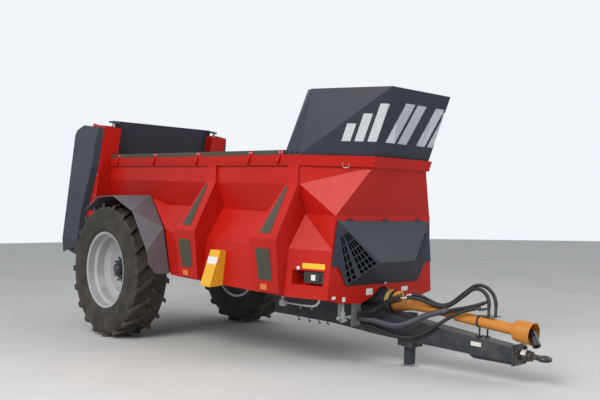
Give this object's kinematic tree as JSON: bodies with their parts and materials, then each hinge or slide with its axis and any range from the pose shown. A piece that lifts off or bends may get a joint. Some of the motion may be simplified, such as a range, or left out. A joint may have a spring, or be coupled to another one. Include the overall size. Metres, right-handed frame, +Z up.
{
  "type": "manure spreader",
  "caption": "Trailed single-axle manure spreader with folded side walls, front screen, grille hood, sliding gate and two upright spreading rotors, standing on its jack.",
  "frame": {"origin": "centre of the bounding box on the ground", "axes": "+X forward to the towing eye, +Y left, +Z up"},
  "size_m": [7.7298, 2.7, 3.0033],
  "materials": {
    "body_red": "gloss",
    "bare_steel": "worn",
    "panel_olive": "matt",
    "anthracite": "satin",
    "window_mesh": "matt",
    "black_steel": "satin",
    "guard_orange": "satin",
    "rim_silver": "satin",
    "tyre_rubber": "matt",
    "dark_grey": "satin",
    "rod_chrome": "polished",
    "chock_yellow": "satin",
    "lamp_amber": "clear",
    "lamp_red": "clear",
    "grey_plastic": "matt",
    "hose_black": "satin"
  },
  "bodies": {
    "machine": {"side_walls": "body_red", "load_floor": "bare_steel", "front_wall": "body_red", "skirts": "body_red", "pillars": "body_red", "pillar_panels": "panel_olive", "top_rail": "body_red", "rail_strips": "panel_olive", "front_screen": "anthracite", "screen_windows": "window_mesh", "floor_chain": "bare_steel", "chain_shafts": "bare_steel", "gearbox": "anthracite", "driveshaft": "black_steel", "pto_guard": "guard_orange", "pto_shaft": "black_steel", "pto_rest": "black_steel", "chassis_rails": "anthracite", "cross_beams": "anthracite", "drawbar": "anthracite", "drawbar_head": "black_steel", "jack_tube": "anthracite", "axle": "anthracite", "fender_right": "dark_grey", "fender_left": "dark_grey", "rear_posts": "body_red", "rear_sill": "body_red", "gate_cylinders": "black_steel", "shield_right": "anthracite", "shield_left": "anthracite", "adapter_beams": "anthracite", "side_box": "black_steel", "step_tube": "rim_silver", "wheel_chock": "chock_yellow", "side_markers": "lamp_amber", "rear_lamps": "lamp_red", "brake_valves": "grey_plastic", "hose_stand": "black_steel", "coil_hose_1": "hose_black", "coil_hose_2": "hose_black", "loop_hose_1": "hose_black", "loop_hose_2": "hose_black", "sleeve_hose": "grey_plastic", "middle_hose": "hose_black", "low_hose": "hose_black"},
    "wheel_right": {"hub_right": "anthracite", "rim_right": "rim_silver", "tyre_right": "tyre_rubber"},
    "wheel_left": {"hub_left": "anthracite", "rim_left": "rim_silver", "tyre_left": "tyre_rubber"},
    "gate_body": {"gate": "anthracite", "gate_rods": "rod_chrome"},
    "hood_body": {"hood": "anthracite"},
    "rotor_right_body": {"rotor_right": "body_red"},
    "rotor_left_body": {"rotor_left": "body_red"},
    "jack_leg_body": {"jack_leg": "anthracite"},
    "towing_eye_body": {"towing_eye": "black_steel"}
  },
  "joints": [
    {"name": "wheel_right_spin", "type": "hinge", "parent": "machine", "child": "wheel_right", "pos_m": [-1.85591, -1.105, 0.889], "axis": [0, 1, 0], "continuous": true},
    {"name": "wheel_left_spin", "type": "hinge", "parent": "machine", "child": "wheel_left", "pos_m": [-1.85591, 1.105, 0.889], "axis": [0, 1, 0], "continuous": true},
    {"name": "gate_lift", "type": "slide", "parent": "machine", "child": "gate_body", "axis": [0.2487, 0, 0.9686], "range_m": [0, 0.9]},
    {"name": "hood_open", "type": "hinge", "parent": "machine", "child": "hood_body", "pos_m": [1.94347, 0, 1.52449], "axis": [0, -1, 0], "range_deg": [0, 80]},
    {"name": "rotor_right_spin", "type": "hinge", "parent": "machine", "child": "rotor_right_body", "pos_m": [-3.41383, -0.45, 1.38868], "axis": [0.2487, 0, 0.9686], "continuous": true},
    {"name": "rotor_left_spin", "type": "hinge", "parent": "machine", "child": "rotor_left_body", "pos_m": [-3.41383, 0.45, 1.38868], "axis": [0.2487, 0, 0.9686], "continuous": true},
    {"name": "jack_lift", "type": "slide", "parent": "machine", "child": "jack_leg_body", "axis": [0.0593, 0, 0.9982], "range_m": [0, 0.185]},
    {"name": "towing_eye_swivel", "type": "hinge", "parent": "machine", "child": "towing_eye_body", "pos_m": [3.61727, 0, 0.27432], "axis": [0.9982, 0, -0.0593], "continuous": true}
  ],
  "couplings": [
    {"joint": "rotor_left_spin", "follows": "rotor_right_spin", "ratio": -1}
  ]
}
